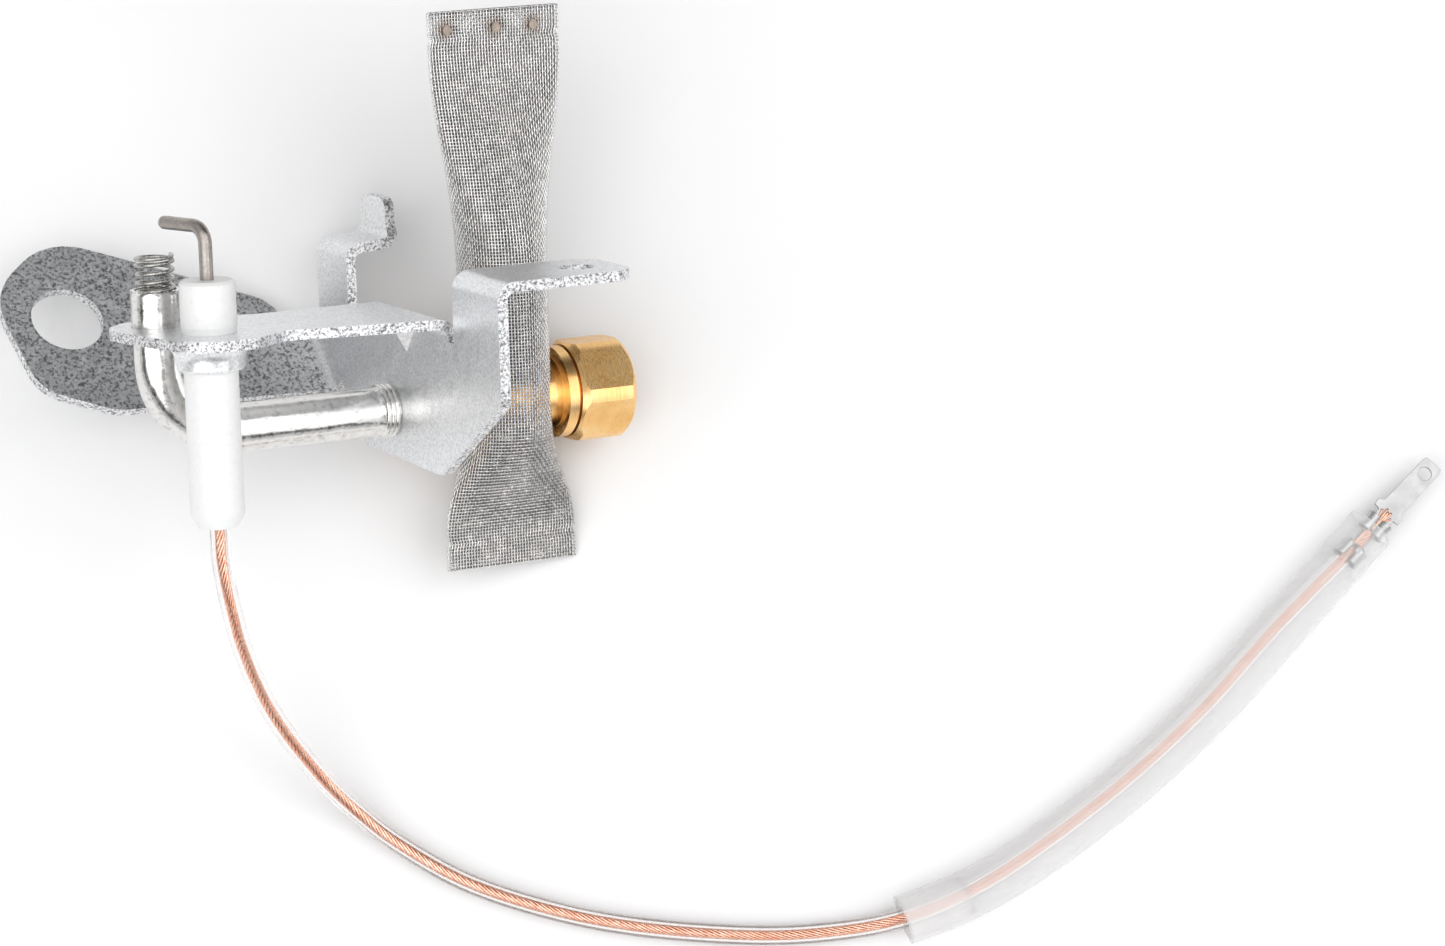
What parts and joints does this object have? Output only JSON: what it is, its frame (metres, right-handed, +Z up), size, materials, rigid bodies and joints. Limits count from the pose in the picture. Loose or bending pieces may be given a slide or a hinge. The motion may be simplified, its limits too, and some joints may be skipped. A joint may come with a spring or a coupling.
{
  "type": "gas pilot burner with ignition electrode",
  "caption": "Pilot burner: bent sheet bracket with elbow flame tube, ceramic ignition electrode and lead, woven mesh air filter and brass gas inlet with union nut.",
  "frame": {"origin": "on the surface the burner lies on, under the middle of the burner's box without its lead", "axes": "+Z up from the surface; the burner lies on its bracket ear, its union nut and the foot of its mesh filter. +X is the gas tube's direction towards the inlet nut, laid flat on the surface, and +Y runs with the electrode's axis, which rises 21.6 degrees from the surface"},
  "size_m": [0.1718, 0.1193, 0.05],
  "materials": {
    "zinc_steel": "zinc-plated sheet steel, fine speckled grain",
    "nickel_tube": "polished nickel-plated tube",
    "spring_steel": "bright drawn spring wire",
    "ceramic": "unglazed white alumina",
    "electrode_alloy": "heat-resistant alloy wire, grey-brown oxide",
    "brass": "turned brass",
    "filter_steel": "stainless wire weave",
    "weld_tint": "heat-tinted spot welds",
    "seal_resin": "translucent potting resin",
    "copper": "twisted copper strands",
    "clear_jacket": "clear silicone jacket",
    "milky_sleeve": "milky translucent silicone sleeve",
    "tinned_steel": "tinned terminal strip"
  },
  "bodies": {
    "burner": {"bracket": "zinc_steel", "pilot_tube": "nickel_tube", "tube_collar": "nickel_tube", "flame_spring": "spring_steel", "ceramic_insulator": "ceramic", "electrode_rod": "electrode_alloy", "splice_ferrule": "brass", "end_seal": "seal_resin", "injector_body": "brass", "injector_jet": "brass", "lock_nut": "brass", "lock_ring": "brass", "mesh_filter": "filter_steel", "seam_welds": "weld_tint", "lead_core": "copper", "lead_jacket": "clear_jacket", "insulating_sleeve": "milky_sleeve", "inner_sleeve": "milky_sleeve", "terminal_tab": "tinned_steel"},
    "olive": {"olive": "brass"},
    "nut": {"union_nut": "brass"}
  },
  "joints": [
    {"name": "nut_travel", "type": "slide", "parent": "burner", "child": "olive", "axis": [0.9283, 0, -0.3719], "range_m": [0, 0.00395]},
    {"name": "nut_turn", "type": "hinge", "parent": "olive", "child": "nut", "pos_m": [0.03172, -0.0123, 0.00691], "axis": [0.9283, 0, -0.3719], "range_deg": [0, 1430]}
  ],
  "couplings": [
    {"joint": "nut_turn", "follows": "nut_travel", "rad_per_m": 6283.2}
  ]
}
